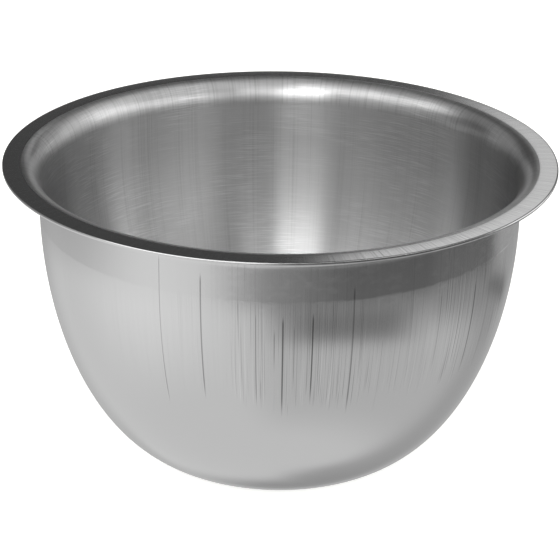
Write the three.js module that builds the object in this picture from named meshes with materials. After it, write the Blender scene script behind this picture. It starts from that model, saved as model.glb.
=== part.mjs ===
// Gallipot: a round open bowl, deep-drawn from one sheet of stainless steel.
// Millimetres, +Z up. The origin is the centre of the underside of the flat base.
import * as THREE from 'three';

// Driving dimensions
const RIM_DIAMETER = 100; // across the outer edge of the flange
const BOWL_HEIGHT = 57; // from the surface it stands on to the top of the flange
const BASE_DIAMETER = 35; // the flat that it stands on
const NECK_DEPTH = 10; // the straight wall ends this far below the top of the flange
const FLANGE_WIDTH = 3.5; // flat ring outside the mouth bend
const BEND_RADIUS = 3.4; // mouth bend, measured on its upper face
const SHEET_THICKNESS = 0.5; // the steel sheet, the same all over

// Fineness of the facets
const TURN_SEGMENTS = 72;
const BODY_STEPS = 14;
const BEND_STEPS = 6;
const EDGE_STEPS = 4;

// Radii and heights that follow from the driving dimensions
const rimRadius = RIM_DIAMETER / 2;
const baseRadius = BASE_DIAMETER / 2;
const edgeRadius = SHEET_THICKNESS / 2;
const bendCentreRadius = rimRadius - FLANGE_WIDTH;
const bendCentreHeight = BOWL_HEIGHT - BEND_RADIUS;
const outerWallRadius = bendCentreRadius - BEND_RADIUS + SHEET_THICKNESS;
const bodySpread = outerWallRadius - baseRadius;
const bodyHeight = BOWL_HEIGHT - NECK_DEPTH;

// Points of a profile hold the radius in x and the height in y.
// An arc of the profile, with both of its ends
function arc(centreRadius, centreHeight, radius, startDegrees, endDegrees, steps) {
  const points = [];
  for (let step = 0; step <= steps; step += 1) {
    const degrees = THREE.MathUtils.lerp(startDegrees, endDegrees, step / steps);
    const angle = THREE.MathUtils.degToRad(degrees);
    const x = centreRadius + radius * Math.cos(angle);
    const y = centreHeight + radius * Math.sin(angle);
    points.push(new THREE.Vector2(x, y));
  }
  return points;
}

// The body wall from the edge of the base up to the neck: a quarter ellipse that leaves the base
// level and meets the neck upright, set in from the outer face by a depth into the sheet
function bodyWall(depth) {
  const points = [];
  for (let step = 0; step <= BODY_STEPS; step += 1) {
    const angle = (Math.PI / 2) * (step / BODY_STEPS);
    const x = baseRadius + bodySpread * Math.sin(angle);
    const y = bodyHeight * (1 - Math.cos(angle));
    const outward = new THREE.Vector2(bodyHeight * Math.sin(angle), -bodySpread * Math.cos(angle));
    outward.normalize();
    points.push(new THREE.Vector2(x, y).addScaledVector(outward, -depth));
  }
  return points;
}

// The closed section of the sheet: up the outer face, round the cut edge of the flange,
// over the mouth bend and down the inner face
function sheetSection() {
  const underBendRadius = BEND_RADIUS - SHEET_THICKNESS;
  const edgeCentreRadius = rimRadius - edgeRadius;
  const edgeCentreHeight = BOWL_HEIGHT - edgeRadius;
  return [
    new THREE.Vector2(0, 0),
    ...bodyWall(0),
    ...arc(bendCentreRadius, bendCentreHeight, underBendRadius, 180, 90, BEND_STEPS),
    ...arc(edgeCentreRadius, edgeCentreHeight, edgeRadius, -90, 90, EDGE_STEPS),
    ...arc(bendCentreRadius, bendCentreHeight, BEND_RADIUS, 90, 180, BEND_STEPS),
    ...bodyWall(SHEET_THICKNESS).reverse(),
    new THREE.Vector2(0, SHEET_THICKNESS),
  ];
}

// The bowl is the section turned about the upright axis
function makeBowl() {
  const geometry = new THREE.LatheGeometry(sheetSection(), TURN_SEGMENTS);
  geometry.rotateX(Math.PI / 2);
  const steel = new THREE.MeshStandardMaterial({ color: 0xc6c7c6, roughness: 0.22, metalness: 1 });
  const bowl = new THREE.Mesh(geometry, steel);
  bowl.name = 'bowl';
  return bowl;
}

const gallipot = new THREE.Group();
gallipot.add(makeBowl());

export default gallipot;
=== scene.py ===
"""The looks of a gallipot, a bowl deep-drawn from one sheet of stainless steel.

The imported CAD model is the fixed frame. The pressed shell is modelled again here, finer than the solid,
with the ring and the upright marks that the drawing die leaves, and it stands for the CAD node.
"""
import logging
import math
from collections.abc import Callable
from dataclasses import dataclass
from enum import Enum

import bmesh
import bpy
from mathutils import Matrix, Vector


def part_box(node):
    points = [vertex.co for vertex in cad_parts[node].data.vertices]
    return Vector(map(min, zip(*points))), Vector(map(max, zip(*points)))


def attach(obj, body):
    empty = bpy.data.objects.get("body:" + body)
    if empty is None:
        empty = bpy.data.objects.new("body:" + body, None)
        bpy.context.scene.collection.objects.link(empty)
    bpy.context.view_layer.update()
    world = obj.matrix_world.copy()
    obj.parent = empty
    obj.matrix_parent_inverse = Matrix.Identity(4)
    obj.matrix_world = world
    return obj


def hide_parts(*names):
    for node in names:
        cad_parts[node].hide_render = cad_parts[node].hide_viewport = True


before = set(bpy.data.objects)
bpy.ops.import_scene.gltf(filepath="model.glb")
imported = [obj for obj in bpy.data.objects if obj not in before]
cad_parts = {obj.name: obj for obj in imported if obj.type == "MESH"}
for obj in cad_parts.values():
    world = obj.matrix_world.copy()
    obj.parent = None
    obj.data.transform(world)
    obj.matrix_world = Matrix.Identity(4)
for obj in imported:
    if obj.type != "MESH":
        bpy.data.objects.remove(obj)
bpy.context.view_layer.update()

LOG = logging.getLogger("gallipot")
MM = 0.001
IMAGE_PIXELS = 560
MIRROR_BOUNCES = 16

# Settings of nodes
EASED = {"interpolation_type": "SMOOTHSTEP"}
TIMES = {"operation": "MULTIPLY"}
MINUS = {"operation": "SUBTRACT"}
LARGER = {"operation": "MAXIMUM"}
ABSOLUTE = {"operation": "ABSOLUTE"}
DEGREES = {"operation": "DEGREES"}
MIXED_NUMBERS = {"data_type": "FLOAT"}
MIXED_COLOURS = {"data_type": "RGBA"}

# Sockets of a mix node, by number because several have the same name
NUMBER_A, NUMBER_B = 2, 3
COLOUR_A, COLOUR_B = 6, 7
COLOUR_OUT = 2


class Surface(Enum):
    """The parts of the sheet's surface that were finished in different ways, by material slot."""

    OUTSIDE = 0
    INSIDE = 1
    FLANGE = 2


def linear_colour(hex_value: str) -> tuple[float, float, float, float]:
    """Turn an sRGB hex value into a linear colour, by the sRGB standard's own curve.

    Args:
        hex_value: Six hex digits with a leading hash.

    Returns:
        Linear red, green and blue, with an alpha of 1.
    """
    channels = []
    for start in (1, 3, 5):
        share = int(hex_value[start:start + 2], 16) / 255
        low = share / 12.92
        high = ((share + 0.055) / 1.055) ** 2.4
        channels.append(low if share <= 0.04045 else high)
    return (*channels, 1.0)


def add_node(tree: bpy.types.NodeTree, kind: str, settings: dict | None = None,
             inputs: dict | None = None) -> bpy.types.Node:
    """Add one node with its settings and links.

    Args:
        tree: Node tree that takes the node.
        kind: Blender's name for the kind of node, without the ShaderNode in front.
        settings: Attribute names and their values.
        inputs: Socket names or numbers, each with a value or with the output socket to link.

    Returns:
        The new node.
    """
    node = tree.nodes.new("ShaderNode" + kind)
    for name, value in (settings or {}).items():
        setattr(node, name, value)
    for socket, value in (inputs or {}).items():
        if isinstance(value, bpy.types.NodeSocket):
            tree.links.new(value, node.inputs[socket])
        else:
            node.inputs[socket].default_value = value
    return node


def deselect_everything() -> None:
    """Leave nothing selected, so that an operator acts on the new piece alone."""
    bpy.ops.object.select_all(action="DESELECT")


def apply_modifier(piece: bpy.types.Object, kind: str, settings: dict) -> None:
    """Add a modifier to the active piece and apply it.

    Args:
        piece: The active object.
        kind: Blender's name for the kind of modifier.
        settings: Attribute names and their values.
    """
    bpy.ops.object.modifier_add(type=kind)
    modifier = piece.modifiers[-1]
    for name, value in settings.items():
        setattr(modifier, name, value)
    bpy.ops.object.modifier_apply(modifier=modifier.name)


@dataclass(frozen=True)
class Ramp:
    """How one value follows another: between start and end it goes from first to last."""

    start: float
    end: float
    first: float = 0.0
    last: float = 1.0

    def over(self, value: bpy.types.NodeSocket) -> dict:
        """Give the inputs of a map range node that reads a value."""
        return {"Value": value, "From Min": self.start, "From Max": self.end,
                "To Min": self.first, "To Max": self.last}


@dataclass(frozen=True)
class SurfacePlace:
    """Sockets that tell a pattern where it is on the bowl."""

    turn: bpy.types.NodeSocket
    height: bpy.types.NodeSocket
    outward: bpy.types.NodeSocket

    @classmethod
    def read(cls, tree: bpy.types.NodeTree) -> "SurfacePlace":
        """Read the place from Object coordinates.

        Args:
            tree: Node tree of the material.

        Returns:
            The turn in degrees from the front, the height in millimetres and the level outward direction.
        """
        place = add_node(tree, "TexCoord").outputs["Object"]
        level = add_node(tree, "VectorMath", TIMES, {0: place, 1: (1.0, 1.0, 0.0)})
        outward = add_node(tree, "VectorMath", {"operation": "NORMALIZE"}, {0: level.outputs[0]})
        parts = add_node(tree, "SeparateXYZ", None, {0: place}).outputs
        forward = add_node(tree, "Math", TIMES, {0: parts["Y"], 1: -1.0})
        angle = add_node(tree, "Math", {"operation": "ARCTAN2"}, {0: parts["X"], 1: forward.outputs[0]})
        turn = add_node(tree, "Math", DEGREES, {0: angle.outputs[0]})
        height = add_node(tree, "Math", {"operation": "DIVIDE"}, {0: parts["Z"], 1: MM})
        return cls(turn.outputs[0], height.outputs[0], outward.outputs[0])


@dataclass(frozen=True)
class DrawMark:
    """One deep scratch that the die left up the outside of the bowl."""

    turn: float
    top: float
    bottom: float
    width: float
    depth: float


# Turn in degrees to the right of the front, top and bottom height and width in millimetres, then depth
DRAW_MARKS = (
    DrawMark(-27.2, 54.0, 24.0, 0.16, 0.60),
    DrawMark(-17.3, 51.8, 26.5, 0.21, 0.90),
    DrawMark(-5.0, 46.0, 26.0, 0.17, 0.65),
    DrawMark(-3.9, 33.0, 25.0, 0.13, 0.35),
    DrawMark(-0.9, 42.5, 33.0, 0.16, 0.55),
    DrawMark(1.0, 45.0, 24.0, 0.26, 1.00),
    DrawMark(2.4, 28.0, 23.5, 0.13, 0.35),
    DrawMark(3.5, 43.5, 29.0, 0.16, 0.55),
    DrawMark(7.6, 45.5, 26.5, 0.24, 0.95),
    DrawMark(14.4, 42.5, 25.0, 0.17, 0.65),
    DrawMark(15.4, 46.5, 42.0, 0.14, 0.40),
    DrawMark(16.7, 50.0, 24.0, 0.26, 1.00),
    DrawMark(24.0, 39.5, 25.5, 0.15, 0.40),
    DrawMark(31.5, 34.0, 27.0, 0.15, 0.35),
    DrawMark(39.3, 46.0, 29.0, 0.16, 0.55),
    DrawMark(41.6, 52.0, 45.5, 0.16, 0.35),
    DrawMark(51.0, 45.0, 25.5, 0.24, 0.95),
    DrawMark(62.3, 36.5, 29.0, 0.20, 0.60),
    DrawMark(63.5, 51.0, 47.0, 0.16, 0.30),
)


@dataclass(frozen=True)
class Marks:
    """What a finish leaves on the metal: dark scuffs, bright burnished lines and painted highlights, relief
    and blur.

    Blur is the share of the finish's roughness that a place has.
    """

    scuff: bpy.types.NodeSocket
    burnish_and_highlight: bpy.types.NodeSocket
    relief: bpy.types.NodeSocket
    blur: bpy.types.NodeSocket


@dataclass(frozen=True)
class SteelFinish:
    """Bright stainless steel, as it leaves the press.

    The bare metal is a neutral grey mirror that blurs what it shows. How much it blurs, along which way it
    draws the reflections out, and the marks on it tell the inside, the outside and the flange apart. The
    wall's radius is in metres, and the sizes of marks are in millimetres. Most real marks are finer than a
    picture can show, so they are drawn coarse enough to be seen.
    """

    name: str
    roughness: float
    stretch: float
    stretch_turn: float
    wall_radius: float
    colour: str = "#D2D2D2"
    scuff_colour: str = "#4C4C4C"
    # Colour of burnished lines, and of the painted highlight along the outside's ring
    burnish_and_highlight_colour: str = "#F2F2F2"
    relief_depth: float = 0.002

    def streaks(self, tree: bpy.types.NodeTree, place: SurfacePlace, width: float, length: float,
                detail: float = 2.0) -> bpy.types.NodeSocket:
        """Add noise drawn out up the wall or round it.

        Args:
            tree: Node tree of the material.
            place: Where the pattern is.
            width: Size of a streak round the bowl, in millimetres.
            length: Size of a streak up the bowl, in millimetres.
            detail: Octaves of finer noise.

        Returns:
            The noise, about 0.5 on average.
        """
        scale = self.wall_radius / MM / width
        around = add_node(tree, "VectorMath", {"operation": "SCALE"}, {0: place.outward, "Scale": scale})
        along = add_node(tree, "Math", {"operation": "DIVIDE"}, {0: place.height, 1: length})
        upright = add_node(tree, "CombineXYZ", None, {"Z": along.outputs[0]})
        spot = add_node(tree, "VectorMath", None, {0: around.outputs[0], 1: upright.outputs[0]})
        noise = add_node(tree, "TexNoise", None, {
            "Vector": spot.outputs[0], "Scale": 1.0, "Detail": detail})
        return noise.outputs["Fac"]

    def material(self) -> bpy.types.Material:
        """Make the material.

        Returns:
            A metal whose pattern comes from this finish.
        """
        made = bpy.data.materials.new(self.name)
        made.use_nodes = True
        tree = made.node_tree
        tree.nodes.clear()
        marks = self.pattern(tree, SurfacePlace.read(tree))
        scuffed = add_node(tree, "Mix", MIXED_COLOURS, {
            "Factor": marks.scuff, COLOUR_A: linear_colour(self.colour),
            COLOUR_B: linear_colour(self.scuff_colour)})
        burnished_and_highlighted = add_node(tree, "Mix", MIXED_COLOURS, {
            "Factor": marks.burnish_and_highlight, COLOUR_A: scuffed.outputs[COLOUR_OUT],
            COLOUR_B: linear_colour(self.burnish_and_highlight_colour)})
        rough = add_node(tree, "Math", TIMES, {0: marks.blur, 1: self.roughness})
        bump = add_node(tree, "Bump", None, {
            "Height": marks.relief, "Distance": self.relief_depth * MM, "Strength": 1.0})
        around = add_node(tree, "Tangent", {"direction_type": "RADIAL", "axis": "Z"})
        steel = add_node(tree, "BsdfPrincipled", None, {
            "Base Color": burnished_and_highlighted.outputs[COLOUR_OUT], "Metallic": 1.0, "Roughness": rough.outputs[0],
            "Anisotropic": self.stretch, "Anisotropic Rotation": self.stretch_turn,
            "Tangent": around.outputs[0], "Normal": bump.outputs[0]})
        add_node(tree, "OutputMaterial", None, {"Surface": steel.outputs[0]})
        return made

    def pattern(self, tree: bpy.types.NodeTree, place: SurfacePlace) -> Marks:
        """Add the marks of this finish.

        Args:
            tree: Node tree of the material.
            place: Where the pattern is.

        Returns:
            The marks.
        """
        raise NotImplementedError


@dataclass(frozen=True)
class DrawnOutside(SteelFinish):
    """Outside wall: upright lines where the die dragged along the sheet, thickest below the neck.

    The neck has faint smears, and a patchy painted highlight runs along the ring at its foot. All of it is
    strongest to the right of the front.
    """

    # Fine upright lines, dark and light
    line_width: float = 0.18
    line_length: float = 24.0
    light_line_width: float = 0.234
    light_line_length: float = 40.8
    dark_lines: Ramp = Ramp(0.52, 0.7, 0.0, 0.58)
    light_lines: Ramp = Ramp(0.52, 0.7, 0.0, 0.6)
    line_blur: Ramp = Ramp(0.3, 0.7, 0.8, 1.2)
    # Where the lines are: in clusters, down to a ragged lower end, and few on the neck
    cluster_width: float = 5.0
    cluster_length: float = 90.0
    clustered: Ramp = Ramp(0.4, 0.62, 0.25, 1.0)
    end_width: float = 0.9
    end_length: float = 200.0
    lower_end: Ramp = Ramp(0.0, 1.0, 20.0, 34.0)
    from_lower_end: Ramp = Ramp(0.0, 3.0)
    up_to_neck: Ramp = Ramp(46.0, 48.0, 1.0, 0.35)
    rightward: Ramp = Ramp(-22.0, 4.0, 0.1, 1.0)
    # Deep marks: how they fade to their sides, as shares of their half width, and to their ends
    mark_core: float = 0.4
    mark_reach: float = 1.6
    mark_foot_fade: float = 5.0
    mark_head_fade: float = 2.0
    mark_breaks: Ramp = Ramp(0.3, 0.6, 1.0, 0.55)
    # Smears on the neck, and the painted highlight along the ring
    smear_width: float = 2.0
    smear_height: float = 1.2
    smear_detail: float = 4.0
    light_smears: Ramp = Ramp(0.5, 0.72, 0.0, 0.25)
    onto_neck: Ramp = Ramp(43.0, 47.0)
    ring_height: float = 47.1
    ring_highlight_line: Ramp = Ramp(0.0, 0.25, 0.6, 0.0)
    ring_highlight_patches: Ramp = Ramp(0.4, 0.6)

    def pattern(self, tree: bpy.types.NodeTree, place: SurfacePlace) -> Marks:
        """Add fine upright lines in a band, the deep draw marks, and the rubbed neck.

        Args:
            tree: Node tree of the material.
            place: Where the pattern is.

        Returns:
            The marks.
        """
        fine = self.streaks(tree, place, self.line_width, self.line_length)
        bright = self.streaks(tree, place, self.light_line_width, self.light_line_length)
        rightward = add_node(tree, "MapRange", EASED, self.rightward.over(place.turn)).outputs[0]
        band = self.line_band(tree, place, rightward)
        dark_lines = add_node(tree, "MapRange", EASED, self.dark_lines.over(fine))
        scuff = add_node(tree, "Math", TIMES, {0: dark_lines.outputs[0], 1: band})
        for mark in DRAW_MARKS:
            scratch = self.scratch(tree, place, mark, bright)
            scuff = add_node(tree, "Math", LARGER, {0: scuff.outputs[0], 1: scratch})
        light_lines = add_node(tree, "MapRange", EASED, self.light_lines.over(bright))
        burnish_and_highlight = add_node(tree, "Math", TIMES, {0: light_lines.outputs[0], 1: band})
        # The neck's smears bring with them the painted highlight along the ring
        smears_and_ring_highlight = self.neck_smears_and_ring_highlight(tree, place, rightward)
        burnish_and_highlight = add_node(tree, "Math", LARGER, {0: burnish_and_highlight.outputs[0], 1: smears_and_ring_highlight})
        relief = add_node(tree, "Mix", MIXED_NUMBERS, {"Factor": band, NUMBER_A: 0.5, NUMBER_B: fine})
        blur = add_node(tree, "MapRange", None, self.line_blur.over(relief.outputs[0]))
        return Marks(scuff.outputs[0], burnish_and_highlight.outputs[0], relief.outputs[0], blur.outputs[0])

    def line_band(self, tree: bpy.types.NodeTree, place: SurfacePlace,
                  rightward: bpy.types.NodeSocket) -> bpy.types.NodeSocket:
        """Add the band that the fine lines lie in.

        Args:
            tree: Node tree of the material.
            place: Where the pattern is.
            rightward: How far to the right a place is, from near 0 to 1.

        Returns:
            How strong the lines are.
        """
        ragged = self.streaks(tree, place, self.end_width, self.end_length)
        low = add_node(tree, "MapRange", None, self.lower_end.over(ragged))
        above = add_node(tree, "Math", MINUS, {0: place.height, 1: low.outputs[0]})
        fade_in = add_node(tree, "MapRange", EASED, self.from_lower_end.over(above.outputs[0]))
        fade_out = add_node(tree, "MapRange", EASED, self.up_to_neck.over(place.height))
        band = add_node(tree, "Math", TIMES, {0: fade_in.outputs[0], 1: fade_out.outputs[0]})
        clusters = self.streaks(tree, place, self.cluster_width, self.cluster_length)
        where = add_node(tree, "MapRange", None, self.clustered.over(clusters))
        band = add_node(tree, "Math", TIMES, {0: band.outputs[0], 1: where.outputs[0]})
        band = add_node(tree, "Math", TIMES, {0: band.outputs[0], 1: rightward})
        return band.outputs[0]

    def neck_smears_and_ring_highlight(self, tree: bpy.types.NodeTree, place: SurfacePlace,
                    rightward: bpy.types.NodeSocket) -> bpy.types.NodeSocket:
        """Add the smears on the neck, and the patchy bright line along the ring at its foot.

        Args:
            tree: Node tree of the material.
            place: Where the pattern is.
            rightward: How far to the right a place is, from near 0 to 1.

        Returns:
            How much lighter the metal is: rubbed smears, and the painted highlight along the ring.
        """
        smears = self.streaks(tree, place, self.smear_width, self.smear_height, self.smear_detail)
        light_smears = add_node(tree, "MapRange", None, self.light_smears.over(smears))
        on_neck = add_node(tree, "MapRange", EASED, self.onto_neck.over(place.height))
        on_neck = add_node(tree, "Math", TIMES, {0: on_neck.outputs[0], 1: rightward})
        smeared = add_node(tree, "Math", TIMES, {0: light_smears.outputs[0], 1: on_neck.outputs[0]})
        # Painted highlight: a patchy bright line along the ring, where its edge catches the light
        from_ring = add_node(tree, "Math", MINUS, {0: place.height, 1: self.ring_height})
        from_ring = add_node(tree, "Math", ABSOLUTE, {0: from_ring.outputs[0]})
        ring = add_node(tree, "MapRange", EASED, self.ring_highlight_line.over(from_ring.outputs[0]))
        patchy = add_node(tree, "MapRange", None, self.ring_highlight_patches.over(smears))
        ring = add_node(tree, "Math", TIMES, {0: ring.outputs[0], 1: patchy.outputs[0]})
        ring = add_node(tree, "Math", TIMES, {0: ring.outputs[0], 1: rightward})
        smears_and_ring_highlight = add_node(tree, "Math", LARGER, {0: smeared.outputs[0], 1: ring.outputs[0]})
        return smears_and_ring_highlight.outputs[0]

    def scratch(self, tree: bpy.types.NodeTree, place: SurfacePlace, mark: DrawMark,
                breaks: bpy.types.NodeSocket) -> bpy.types.NodeSocket:
        """Add one deep draw mark.

        Args:
            tree: Node tree of the material.
            place: Where the pattern is.
            mark: The mark's place and size.
            breaks: Noise that makes its sides uneven.

        Returns:
            The mark's darkness, 0 beside it.
        """
        half = math.degrees(mark.width / 2 * MM / self.wall_radius)
        to_side = Ramp(half * self.mark_core, half * self.mark_reach, mark.depth, 0.0)
        from_foot = Ramp(mark.bottom, mark.bottom + self.mark_foot_fade)
        to_head = Ramp(mark.top - self.mark_head_fade, mark.top, 1.0, 0.0)
        aside = add_node(tree, "Math", MINUS, {0: place.turn, 1: mark.turn})
        aside = add_node(tree, "Math", ABSOLUTE, {0: aside.outputs[0]})
        line = add_node(tree, "MapRange", EASED, to_side.over(aside.outputs[0]))
        under = add_node(tree, "MapRange", EASED, from_foot.over(place.height))
        over = add_node(tree, "MapRange", EASED, to_head.over(place.height))
        ends = add_node(tree, "Math", TIMES, {0: under.outputs[0], 1: over.outputs[0]})
        uneven = add_node(tree, "MapRange", None, self.mark_breaks.over(breaks))
        inked = add_node(tree, "Math", TIMES, {0: line.outputs[0], 1: ends.outputs[0]})
        inked = add_node(tree, "Math", TIMES, {0: inked.outputs[0], 1: uneven.outputs[0]})
        return inked.outputs[0]


@dataclass(frozen=True)
class PolishedInside(SteelFinish):
    """Inside wall and mouth bend: fine level polishing lines, upright wipes, and ticks over the bend."""

    # Darker than the outside's steel: painted shade, which dims the light mirrored round the inside
    colour: str = "#BEBEBE"
    relief_depth: float = 0.0016
    # Level polishing lines, in patches
    hatch_width: float = 5.0
    hatch_height: float = 0.16
    light_hatch: Ramp = Ramp(0.46, 0.7, 0.0, 0.4)
    patch_size: float = 14.0
    hatch_patches: Ramp = Ramp(0.45, 0.65, 0.2, 1.0)
    # Upright wipes, in broad bands
    wipe_width: float = 0.3
    wipe_length: float = 60.0
    dark_wipes: Ramp = Ramp(0.45, 0.75, 0.0, 0.24)
    wipe_band_width: float = 2.4
    wipe_bands: Ramp = Ramp(0.45, 0.65, 0.1, 1.0)
    # Ticks over the mouth bend
    tick_width: float = 0.45
    tick_length: float = 400.0
    dark_ticks: Ramp = Ramp(0.48, 0.7, 0.0, 0.26)
    onto_bend: Ramp = Ramp(51.5, 53.5)
    # Share of the roughness, by height: a little sharper towards the floor and on the bend
    body_blur: Ramp = Ramp(26.0, 51.5, 0.9, 1.0)
    bend_blur: Ramp = Ramp(50.5, 54.0, 1.0, 0.9)

    def pattern(self, tree: bpy.types.NodeTree, place: SurfacePlace) -> Marks:
        """Add level hatch in patches, upright wipes, and ticks over the mouth bend.

        Args:
            tree: Node tree of the material.
            place: Where the pattern is.

        Returns:
            The marks.
        """
        hatch = self.streaks(tree, place, self.hatch_width, self.hatch_height)
        wipes = self.streaks(tree, place, self.wipe_width, self.wipe_length)
        broad = self.streaks(tree, place, self.wipe_band_width, self.wipe_length)
        patches = self.streaks(tree, place, self.patch_size, self.patch_size)
        ticks = self.streaks(tree, place, self.tick_width, self.tick_length)
        dark_wipes = add_node(tree, "MapRange", None, self.dark_wipes.over(wipes))
        where = add_node(tree, "MapRange", None, self.wipe_bands.over(broad))
        wiped = add_node(tree, "Math", TIMES, {0: dark_wipes.outputs[0], 1: where.outputs[0]})
        bend = add_node(tree, "MapRange", EASED, self.onto_bend.over(place.height))
        dark_ticks = add_node(tree, "MapRange", None, self.dark_ticks.over(ticks))
        ticked = add_node(tree, "Math", TIMES, {0: dark_ticks.outputs[0], 1: bend.outputs[0]})
        scuff = add_node(tree, "Math", LARGER, {0: wiped.outputs[0], 1: ticked.outputs[0]})
        light_hatch = add_node(tree, "MapRange", None, self.light_hatch.over(hatch))
        spots = add_node(tree, "MapRange", None, self.hatch_patches.over(patches))
        burnish_and_highlight = add_node(tree, "Math", TIMES, {0: light_hatch.outputs[0], 1: spots.outputs[0]})
        relief = add_node(tree, "Mix", MIXED_NUMBERS, {"Factor": 0.5, NUMBER_A: hatch, NUMBER_B: wipes})
        deeper = add_node(tree, "MapRange", None, self.body_blur.over(place.height))
        sharper = add_node(tree, "MapRange", EASED, self.bend_blur.over(place.height))
        blur = add_node(tree, "Math", TIMES, {0: deeper.outputs[0], 1: sharper.outputs[0]})
        return Marks(scuff.outputs[0], burnish_and_highlight.outputs[0], relief.outputs[0], blur.outputs[0])


@dataclass(frozen=True)
class PressedFlange(SteelFinish):
    """Flange: smooth pressed metal with fine ticks that run outwards across it."""

    relief_depth: float = 0.0012
    tick_width: float = 0.22
    tick_length: float = 1000.0
    light_tick_width: float = 0.308
    light_tick_length: float = 900.0
    dark_ticks: Ramp = Ramp(0.5, 0.75, 0.0, 0.2)
    light_ticks: Ramp = Ramp(0.52, 0.75, 0.0, 0.3)
    tick_blur: Ramp = Ramp(0.3, 0.7, 0.8, 1.2)

    def pattern(self, tree: bpy.types.NodeTree, place: SurfacePlace) -> Marks:
        """Add fine ticks across the flange.

        Args:
            tree: Node tree of the material.
            place: Where the pattern is.

        Returns:
            The marks.
        """
        dark = self.streaks(tree, place, self.tick_width, self.tick_length)
        light = self.streaks(tree, place, self.light_tick_width, self.light_tick_length)
        scuff = add_node(tree, "MapRange", None, self.dark_ticks.over(dark))
        burnish_and_highlight = add_node(tree, "MapRange", None, self.light_ticks.over(light))
        blur = add_node(tree, "MapRange", None, self.tick_blur.over(dark))
        return Marks(scuff.outputs[0], burnish_and_highlight.outputs[0], dark, blur.outputs[0])


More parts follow.
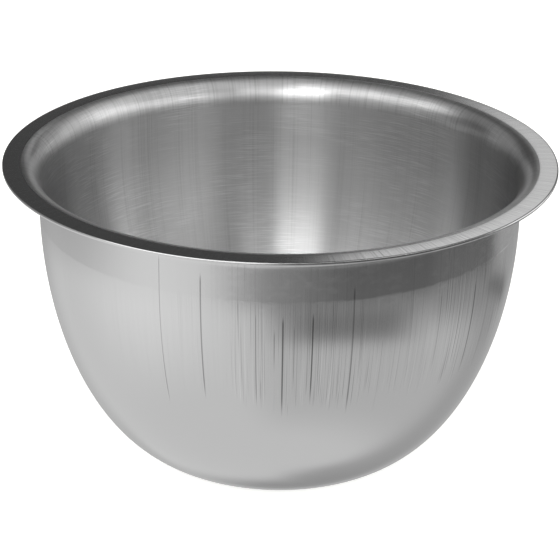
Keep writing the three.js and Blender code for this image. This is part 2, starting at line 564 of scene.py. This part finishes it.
@dataclass
class PressedShell:
    """The bowl's one piece: base, body, neck, mouth bend and flange in a single sheet.

    Sizes are in metres, angles in degrees, and radii are those of the outer face unless they say otherwise.
    """

    rim_radius: float
    height: float
    base_radius: float = 17.5 * MM
    base_disc_share: float = 0.8
    body_arc: float = 88.0
    body_steps: int = 44
    neck_depth: float = 10.0 * MM
    ring_sharpness: float = 0.12 * MM
    # The mouth bend is a part of an ellipse: its width and drop on the inner face, then its drop outside
    bend_width: float = 3.6 * MM
    bend_drop: float = 4.6 * MM
    under_drop: float = 3.3 * MM
    bend_steps: int = 16
    flange_width: float = 3.3 * MM
    flange_crown: float = 0.08 * MM
    flange_shares: tuple[float, ...] = (0.1, 0.3, 0.5, 0.7, 0.9, 1.0)
    sheet: float = 0.5 * MM
    edge_lean: float = 0.04 * MM
    edge_round: float = 0.06 * MM
    edge_steps: int = 2
    edge_angle: float = 50.0
    smooth_angle: float = 40.0
    # The ripple fades out towards the base and the flange
    ripple: float = 0.10 * MM
    ripple_length: float = 34.0 * MM
    ripple_foot: float = 16.0 * MM
    ripple_head: float = 4.0 * MM
    segments: int = 288
    merge_distance: float = 0.001 * MM

    @property
    def bend_centre_radius(self) -> float:
        """Radius of the circle that the mouth bend is centred on."""
        return self.rim_radius - self.flange_width

    @property
    def bend_foot(self) -> float:
        """Height where the mouth bend meets the straight neck on the inner face."""
        return self.height - self.bend_drop

    @property
    def under_foot(self) -> float:
        """Height where the mouth bend meets the straight neck on the outer face."""
        return self.height - self.sheet - self.under_drop

    @property
    def wall_radius(self) -> float:
        """Radius of the straight neck, outside."""
        return self.bend_centre_radius - self.bend_width + self.sheet

    @property
    def neck_foot(self) -> float:
        """Height where the straight neck meets the curved body."""
        return self.height - self.neck_depth

    def stations(self) -> list[tuple[float, float]]:
        """List the rings of the outer face from the base to the rim.

        Returns:
            Pairs of radius and height.
        """
        rings = [(self.base_radius * self.base_disc_share, 0.0)]
        arc = math.radians(self.body_arc)
        spread = (self.wall_radius - self.base_radius) / math.sin(arc)
        rise = self.neck_foot / (1 - math.cos(arc))
        close_below = arc - self.ring_sharpness / rise
        angles = [arc * step / self.body_steps for step in range(self.body_steps)]
        for angle in (*angles, close_below, arc):
            rings.append((self.base_radius + spread * math.sin(angle), rise * (1 - math.cos(angle))))
        between_feet = (self.bend_foot + self.under_foot) / 2
        for height in (self.neck_foot + self.ring_sharpness, self.bend_foot, between_feet):
            rings.append((self.wall_radius, height))
        under_width = self.bend_width - self.sheet
        for step in range(self.bend_steps + 1):
            angle = math.pi - math.pi / 2 * step / self.bend_steps
            rings.append((self.bend_centre_radius + under_width * math.cos(angle),
                          self.under_foot + self.under_drop * math.sin(angle)))
        under_face = self.height - self.sheet
        for share in self.flange_shares:
            rings.append((self.bend_centre_radius + self.flange_width * share,
                          under_face - self.flange_crown * share ** 2))
        return rings

    def build(self, name: str) -> bpy.types.Object:
        """Model the shell.

        Args:
            name: Name of the piece.

        Returns:
            The finished object, at the origin.
        """
        piece = self.draw_outer_face(name)
        thickness = self.thin_bend(piece)
        self.add_ripple(piece)
        apply_modifier(piece, "SOLIDIFY", {"thickness": self.sheet, "offset": -1.0, "use_even_offset": True,
                                           "vertex_group": thickness})
        piece.vertex_groups.clear()
        self.ease_inner_ring(piece)
        self.shear_edge(piece)
        apply_modifier(piece, "BEVEL", {"width": self.edge_round, "segments": self.edge_steps,
                                        "limit_method": "ANGLE",
                                        "angle_limit": math.radians(self.edge_angle)})
        bpy.ops.object.shade_smooth_by_angle(angle=math.radians(self.smooth_angle))
        return piece

    def draw_outer_face(self, name: str) -> bpy.types.Object:
        """Draw the open outer face up from a disc, ring by ring.

        Args:
            name: Name of the piece.

        Returns:
            The open sheet, with its faces pointing out of the bowl.
        """
        deselect_everything()
        rings = self.stations()
        radius, height = rings[0]
        bpy.ops.mesh.primitive_circle_add(vertices=self.segments, radius=radius, fill_type="TRIFAN",
                                          location=(0.0, 0.0, height))
        piece = bpy.context.object
        piece.name = name
        piece.data.name = name
        bpy.ops.object.mode_set(mode="EDIT")
        bpy.ops.mesh.select_mode(type="EDGE")
        self.select_edges(piece, lambda edge: edge.is_boundary)
        for next_radius, next_height in rings[1:]:
            bpy.ops.mesh.extrude_edges_move(
                TRANSFORM_OT_translate={"value": (0.0, 0.0, next_height - height)})
            growth = next_radius / radius
            bpy.ops.transform.resize(value=(growth, growth, 1.0), center_override=(0.0, 0.0, next_height))
            radius, height = next_radius, next_height
        bpy.ops.mesh.select_all(action="SELECT")
        bpy.ops.mesh.remove_doubles(threshold=self.merge_distance)
        bpy.ops.mesh.normals_make_consistent(inside=False)
        bpy.ops.object.mode_set(mode="OBJECT")
        lowest = min(piece.data.polygons, key=lambda face: face.center.z)
        if lowest.normal.z > 0:
            bpy.ops.object.mode_set(mode="EDIT")
            bpy.ops.mesh.select_all(action="SELECT")
            bpy.ops.mesh.flip_normals()
            bpy.ops.object.mode_set(mode="OBJECT")
        return piece

    def select_edges(self, piece: bpy.types.Object, wanted: Callable[[bmesh.types.BMEdge], bool]) -> None:
        """Select edges of the piece in edit mode.

        Args:
            piece: The object in edit mode.
            wanted: Says whether an edge is to be selected.
        """
        bpy.ops.mesh.select_all(action="DESELECT")
        mesh = bmesh.from_edit_mesh(piece.data)
        for edge in mesh.edges:
            edge.select = wanted(edge)
        mesh.select_flush_mode()
        bmesh.update_edit_mesh(piece.data)

    def thin_bend(self, piece: bpy.types.Object) -> str:
        """Mark where drawing thinned the sheet, so that the mouth bend is wider inside than outside.

        Args:
            piece: The open sheet, before it is put out of true.

        Returns:
            Name of the vertex group that holds the share of the thickness that is left.
        """
        group = piece.vertex_groups.new(name="thickness")
        for vertex in piece.data.vertices:
            in_bend = vertex.co.z > self.bend_foot and vertex.co.xy.length < self.bend_centre_radius
            share = self.thickness_left(vertex) if in_bend else 1.0
            group.add([vertex.index], share, "REPLACE")
        return group.name

    def thickness_left(self, vertex: bpy.types.MeshVertex) -> float:
        """Work out how thick the sheet is at a place in the mouth bend.

        In units of the inner face's ellipse, that face lies where the way inwards meets a circle of radius 1.

        Args:
            vertex: A point of the outer face.

        Returns:
            Share of the sheet's full thickness.
        """
        radius = vertex.co.xy.length
        start = Vector(((radius - self.bend_centre_radius) / self.bend_width,
                        (vertex.co.z - self.bend_foot) / self.bend_drop))
        outward = vertex.normal.xy.dot(vertex.co.xy) / radius
        inwards = Vector((-outward / self.bend_width, -vertex.normal.z / self.bend_drop))
        along = start.dot(inwards)
        square = inwards.length_squared
        left = (math.sqrt(along ** 2 + square * (1 - start.length_squared)) - along) / square
        return min(1.0, left / self.sheet)

    def ease_inner_ring(self, piece: bpy.types.Object) -> None:
        """Take the ring's sharp turn out of the inner face, where the sheet eases round it.

        Args:
            piece: The sheet at its full thickness.
        """
        inner_face = self.wall_radius - self.sheet / 2
        reach = self.ring_sharpness * 2
        level = self.ring_sharpness / 4

        def on_inner_ring(edge: bmesh.types.BMEdge) -> bool:
            """Say whether an edge runs level along the ring, on the inner face.

            Args:
                edge: An edge of the sheet.

            Returns:
                True for an edge to take out.
            """
            first, second = (corner.co for corner in edge.verts)
            inside = max(first.xy.length, second.xy.length) < inner_face
            near = max(abs(first.z - self.neck_foot), abs(second.z - self.neck_foot)) < reach
            return inside and near and abs(first.z - second.z) < level

        bpy.ops.object.mode_set(mode="EDIT")
        self.select_edges(piece, on_inner_ring)
        bpy.ops.mesh.dissolve_edges(use_verts=True)
        bpy.ops.object.mode_set(mode="OBJECT")

    def shear_edge(self, piece: bpy.types.Object) -> None:
        """Lean the cut edge of the flange back a little, as shears leave it.

        Args:
            piece: The sheet at its full thickness.
        """
        outermost = self.rim_radius - self.sheet / 2
        halfway = self.height - self.flange_crown - self.sheet / 2
        bpy.ops.object.mode_set(mode="EDIT")
        self.select_edges(piece, lambda edge: all(
            corner.co.xy.length > outermost and corner.co.z > halfway for corner in edge.verts))
        shrink = 1 - self.edge_lean / self.rim_radius
        bpy.ops.transform.resize(value=(shrink, shrink, 1.0), center_override=(0.0, 0.0, halfway))
        bpy.ops.object.mode_set(mode="OBJECT")

    def add_ripple(self, piece: bpy.types.Object) -> None:
        """Leave the body slightly out of true, as drawing leaves it, so that reflections wander.

        Args:
            piece: The open sheet.
        """
        group = piece.vertex_groups.new(name="body")
        under_face = self.height - self.sheet
        for vertex in piece.data.vertices:
            low = min(1.0, max(0.0, vertex.co.z / self.ripple_foot))
            high = min(1.0, max(0.0, (under_face - vertex.co.z) / self.ripple_head))
            group.add([vertex.index], low * high, "REPLACE")
        clouds = bpy.data.textures.new("body_ripple", "CLOUDS")
        clouds.noise_scale = self.ripple_length
        clouds.noise_depth = 0
        apply_modifier(piece, "DISPLACE", {"texture": clouds, "texture_coords": "LOCAL",
                                           "vertex_group": group.name, "strength": self.ripple,
                                           "mid_level": 0.5})

    def dress(self, piece: bpy.types.Object, finishes: dict[Surface, SteelFinish]) -> None:
        """Give each part of the surface its finish.

        Args:
            piece: The finished shell.
            finishes: The finish of each part of the surface.
        """
        piece.data.materials.clear()
        for surface in Surface:
            piece.data.materials.append(finishes[surface].material())
        for face in piece.data.polygons:
            face.material_index = self.surface_of(face).value

    def surface_of(self, face: bpy.types.MeshPolygon) -> Surface:
        """Tell which part of the surface a face is in.

        Args:
            face: A face of the finished shell.

        Returns:
            The flange's upper side, the outside or the inside.
        """
        faces_up = face.normal.z > 0.5
        if faces_up and face.center.xy.length > self.bend_centre_radius:
            return Surface.FLANGE
        mouth = Vector((0.0, 0.0, self.height))
        faces_out = face.normal.dot(face.center - mouth) > 0
        return Surface.OUTSIDE if faces_out else Surface.INSIDE


@dataclass(frozen=True)
class SkyPatch:
    """A soft-edged part of the surroundings, which the steel mirrors. Angles are in degrees."""

    name: str
    azimuth: float
    elevation: float
    half_width: float
    half_height: float
    soft_width: float
    soft_height: float
    radiance: float


# Azimuth to the right of straight ahead, elevation, half width and height, their softness, then radiance
SKY_PATCHES = (
    SkyPatch("wall behind, in shade", -55.0, 42.0, 45.0, 39.0, 20.0, 5.0, 0.35),
    SkyPatch("pale wall on the right", 103.0, 44.0, 59.0, 34.0, 8.0, 4.0, 1.0),
    SkyPatch("wall behind, on the right", 32.0, 42.0, 16.0, 34.0, 6.0, 4.0, 0.45),
    SkyPatch("wall on the right, in shade", 125.0, 38.0, 32.0, 8.0, 10.0, 3.0, 0.25),
    SkyPatch("bright panel on the right", 112.0, 22.0, 38.0, 5.5, 12.0, 3.0, 3.4),
    SkyPatch("dark skirting on the left", -118.0, 16.0, 58.0, 10.0, 4.0, 3.0, 0.05),
    SkyPatch("window in front, on the left", -123.0, 38.0, 44.0, 8.0, 14.0, 4.0, 2.7),
    SkyPatch("window in front, higher part", -145.0, 48.0, 30.0, 5.0, 10.0, 3.0, 2.8),
    SkyPatch("lamp above the camera", -170.0, 27.5, 13.0, 7.0, 6.0, 3.0, 7.0),
    SkyPatch("second lamp above the camera", 167.0, 30.0, 9.0, 11.0, 5.0, 4.0, 2.2),
    SkyPatch("floor lit by the window", -112.0, -30.0, 33.0, 9.0, 31.0, 16.0, 1.02),
    SkyPatch("far floor by the window", -148.0, -3.5, 40.0, 7.0, 4.0, 2.0, 2.1),
    SkyPatch("floor on the right", 123.0, -47.0, 66.0, 15.0, 20.0, 10.0, 0.62),
    SkyPatch("floor behind, in shade", 34.0, -47.0, 28.0, 33.0, 18.0, 8.0, 0.45),
    SkyPatch("shadow of the bowl", 8.0, -58.0, 24.0, 13.0, 16.0, 10.0, 0.38),
    SkyPatch("shade behind", -8.0, -33.0, 25.0, 14.0, 15.0, 5.0, 0.55),
    SkyPatch("far floor behind", -30.0, -9.0, 66.0, 12.0, 26.0, 6.0, 0.25),
    SkyPatch("dark table edge in front", 120.0, -10.0, 64.0, 18.0, 7.0, 6.0, 0.1),
    SkyPatch("dim floor below the table edge", 144.0, -32.0, 34.0, 4.0, 18.0, 2.0, 0.21),
    SkyPatch("dim floor on the right", 70.0, -28.0, 32.0, 3.0, 3.0, 6.0, 0.34),
    SkyPatch("dim floor below the camera", -178.0, -22.0, 18.0, 5.0, 20.0, 2.0, 0.29),
    SkyPatch("pale post on the right", 63.0, -5.0, 21.0, 12.0, 12.0, 2.0, 1.5),
    SkyPatch("shadow at the foot of the post", 45.0, -26.5, 13.0, 1.0, 4.0, 1.0, 0.16),
    SkyPatch("dark doorway behind", -2.0, 42.0, 26.0, 32.0, 3.0, 2.0, 0.07),
    SkyPatch("light beside the doorway", 9.0, 19.5, 3.5, 4.5, 1.5, 1.8, 0.74),
    SkyPatch("light beside the doorway, higher up", 7.0, 26.0, 5.0, 4.0, 1.5, 2.0, 0.85),
)


@dataclass
class Studio:
    """Plain soft surroundings: a pale floor, and a pale room that the steel mirrors."""

    floor_size: float = 3.0
    floor_colour: str = "#F4F4F2"
    floor_glow: float = 0.65
    floor_radiance: float = 0.77
    room_radiance: float = 0.71
    horizon_blur: float = 8.0
    backdrop: float = 1.0

    def build_room(self) -> None:
        """Make the world that lights the bowl and that its metal mirrors."""
        world = bpy.data.worlds.new("pale_room")
        bpy.context.scene.world = world
        world.use_nodes = True
        tree = world.node_tree
        tree.nodes.clear()
        direction = add_node(tree, "TexCoord").outputs["Generated"]
        parts = add_node(tree, "SeparateXYZ", None, {0: direction}).outputs
        radians = add_node(tree, "Math", {"operation": "ARCSINE"}, {0: parts["Z"]})
        elevation = add_node(tree, "Math", DEGREES, {0: radians.outputs[0]}).outputs[0]
        horizon = Ramp(-self.horizon_blur, self.horizon_blur, self.floor_radiance, self.room_radiance)
        light = add_node(tree, "MapRange", EASED, horizon.over(elevation)).outputs[0]
        for patch in SKY_PATCHES:
            mask = self.patch_mask(tree, patch, direction, elevation)
            light = add_node(tree, "Mix", MIXED_NUMBERS | {"label": patch.name}, {
                "Factor": mask, NUMBER_A: light, NUMBER_B: patch.radiance}).outputs[0]
        seen = add_node(tree, "LightPath").outputs["Is Camera Ray"]
        shown = add_node(tree, "Mix", MIXED_NUMBERS, {
            "Factor": seen, NUMBER_A: light, NUMBER_B: self.backdrop})
        glow = add_node(tree, "Background", None, {
            "Color": (1.0, 1.0, 1.0, 1.0), "Strength": shown.outputs[0]})
        add_node(tree, "OutputWorld", None, {"Surface": glow.outputs[0]})

    def patch_mask(self, tree: bpy.types.NodeTree, patch: SkyPatch, direction: bpy.types.NodeSocket,
                   elevation: bpy.types.NodeSocket) -> bpy.types.NodeSocket:
        """Add the soft outline of one part of the surroundings.

        Args:
            tree: Node tree of the world.
            patch: The part.
            direction: The direction looked along.
            elevation: Its elevation in degrees.

        Returns:
            1 inside the part and 0 outside it.
        """
        to_side = Ramp(patch.half_width - patch.soft_width, patch.half_width + patch.soft_width, 1.0, 0.0)
        to_end = Ramp(patch.half_height - patch.soft_height, patch.half_height + patch.soft_height, 1.0, 0.0)
        turned = add_node(tree, "VectorRotate", {"rotation_type": "Z_AXIS"}, {
            "Vector": direction, "Angle": math.radians(patch.azimuth)})
        parts = add_node(tree, "SeparateXYZ", None, {0: turned.outputs[0]}).outputs
        angle = add_node(tree, "Math", {"operation": "ARCTAN2"}, {0: parts["X"], 1: parts["Y"]})
        aside = add_node(tree, "Math", DEGREES, {0: angle.outputs[0]})
        aside = add_node(tree, "Math", ABSOLUTE, {0: aside.outputs[0]})
        above = add_node(tree, "Math", MINUS, {0: elevation, 1: patch.elevation})
        above = add_node(tree, "Math", ABSOLUTE, {0: above.outputs[0]})
        across = add_node(tree, "MapRange", EASED, to_side.over(aside.outputs[0]))
        upright = add_node(tree, "MapRange", EASED, to_end.over(above.outputs[0]))
        mask = add_node(tree, "Math", TIMES, {0: across.outputs[0], 1: upright.outputs[0]})
        return mask.outputs[0]

    def build_floor(self) -> bpy.types.Object:
        """Make the pale floor.

        Returns:
            The floor, which isn't part of the object.
        """
        deselect_everything()
        bpy.ops.mesh.primitive_plane_add(size=self.floor_size)
        floor = bpy.context.object
        floor.name = "floor"
        # Matt acrylic scatters light evenly, and lit through from below it stays near white
        material = bpy.data.materials.new("white_acrylic_matt")
        material.use_nodes = True
        tree = material.node_tree
        tree.nodes.clear()
        colour = linear_colour(self.floor_colour)
        matt = add_node(tree, "BsdfDiffuse", None, {"Color": colour})
        glow = add_node(tree, "Emission", None, {"Color": colour, "Strength": self.floor_glow})
        both = add_node(tree, "AddShader", None, {0: matt.outputs[0], 1: glow.outputs[0]})
        add_node(tree, "OutputMaterial", None, {"Surface": both.outputs[0]})
        floor.data.materials.append(material)
        # The room below the horizon stands for the floor in the steel, so the floor itself neither shows
        # there nor shades it
        floor.visible_glossy = False
        floor.visible_shadow = False
        return floor


@dataclass
class PhotoCamera:
    """The camera at the photograph's viewing angle. Lengths are in metres and angles in degrees."""

    target_height: float
    distance: float = 0.400
    elevation: float = 20.03
    pitch: float = 23.25
    roll: float = 0.67
    nearest: float = 0.01
    focal_pixels: float = 2209.0
    sideways_pixels: float = 1.0
    sensor_mm: float = 36.0

    def build(self) -> bpy.types.Object:
        """Make the camera and make it the scene's own.

        Returns:
            The camera.
        """
        rise = math.radians(self.elevation)
        dip = math.radians(self.pitch)
        lean = math.radians(self.roll)
        place = Vector((0.0, -math.cos(rise), math.sin(rise))) * self.distance
        place.z += self.target_height
        ahead = Vector((0.0, math.cos(dip), -math.sin(dip)))
        level = Vector((1.0, 0.0, 0.0))
        upward = level.cross(ahead)
        right = level * math.cos(lean) + upward * math.sin(lean)
        top = upward * math.cos(lean) - level * math.sin(lean)
        deselect_everything()
        bpy.ops.object.camera_add()
        camera = bpy.context.object
        camera.name = "photo_camera"
        turned = Matrix((right, top, -ahead)).transposed().to_4x4()
        camera.matrix_world = Matrix.Translation(place) @ turned
        camera.data.sensor_width = self.sensor_mm
        camera.data.lens = self.sensor_mm * self.focal_pixels / IMAGE_PIXELS
        camera.data.shift_x = self.sideways_pixels / IMAGE_PIXELS
        camera.data.clip_start = self.nearest
        bpy.context.scene.camera = camera
        return camera


def main() -> None:
    """Build the camera, the studio and the bowl."""
    logging.basicConfig(level=logging.INFO, format="%(message)s")
    low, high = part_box("bowl")
    camera = PhotoCamera(target_height=high.z).build()
    LOG.info("%s: lens %.1f mm", camera.name, camera.data.lens)
    studio = Studio()
    studio.build_room()
    floor = studio.build_floor()
    LOG.info("%s: staged", floor.name)
    bpy.context.scene.view_settings.view_transform = "Standard"
    # Light is mirrored round the inside of the bowl many times before it leaves
    bpy.context.scene.cycles.max_bounces = MIRROR_BOUNCES
    bpy.context.scene.cycles.glossy_bounces = MIRROR_BOUNCES

    shell = PressedShell(rim_radius=(high.x - low.x) / 2, height=high.z)
    piece = shell.build("pressed_shell")
    wall = shell.wall_radius
    shell.dress(piece, {
        # The die drags upright lines, so what the outside mirrors is blurred sideways
        Surface.OUTSIDE: DrawnOutside("stainless_steel_drawn", roughness=0.17, stretch=0.4,
                                      stretch_turn=0.0, wall_radius=wall),
        # Level polishing lines blur what the inside mirrors upwards and downwards into soft upright bands
        Surface.INSIDE: PolishedInside("stainless_steel_polished", roughness=0.31, stretch=0.96,
                                       stretch_turn=0.25, wall_radius=wall),
        # Flat pressed metal mirrors most sharply, broken by fine ticks
        Surface.FLANGE: PressedFlange("stainless_steel_pressed", roughness=0.14, stretch=0.5,
                                      stretch_turn=0.25, wall_radius=wall),
    })
    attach(piece, "root")
    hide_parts("bowl")
    LOG.info("%s: %d faces", piece.name, len(piece.data.polygons))


if __name__ == "__main__":
    main()
